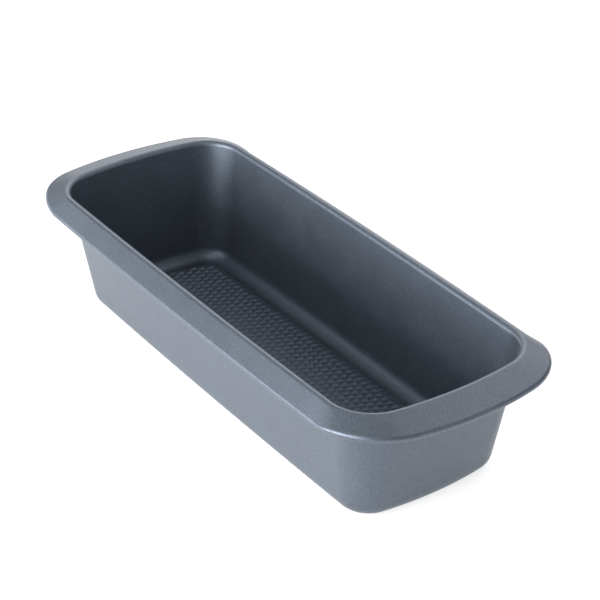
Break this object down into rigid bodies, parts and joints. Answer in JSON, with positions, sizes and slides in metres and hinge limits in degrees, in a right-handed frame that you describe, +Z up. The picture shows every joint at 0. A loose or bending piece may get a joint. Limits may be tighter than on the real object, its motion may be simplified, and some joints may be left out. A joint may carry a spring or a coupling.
{
  "type": "loaf pan",
  "caption": "Coated steel loaf pan with drafted walls, a broad flange falling outwards to a wired edge, and a raised panel in the base.",
  "frame": {"origin": "centre of the footprint, on the plane the base rests on", "axes": "+X along the length, +Y across the width, +Z up out of the well's mouth"},
  "size_m": [0.34, 0.1378, 0.0734],
  "materials": {
    "sheet_steel": "bare carbon steel, hidden under the coatings",
    "wire_steel": "bare drawn wire, hidden in the rolled edge",
    "coating": "satin slate-grey non-stick coating with a fine speckle, on both faces"
  },
  "bodies": {
    "root": {"pan_shell": "sheet_steel", "rim_wire": "wire_steel", "inner_coating": "coating", "outer_coating": "coating"}
  },
  "joints": []
}
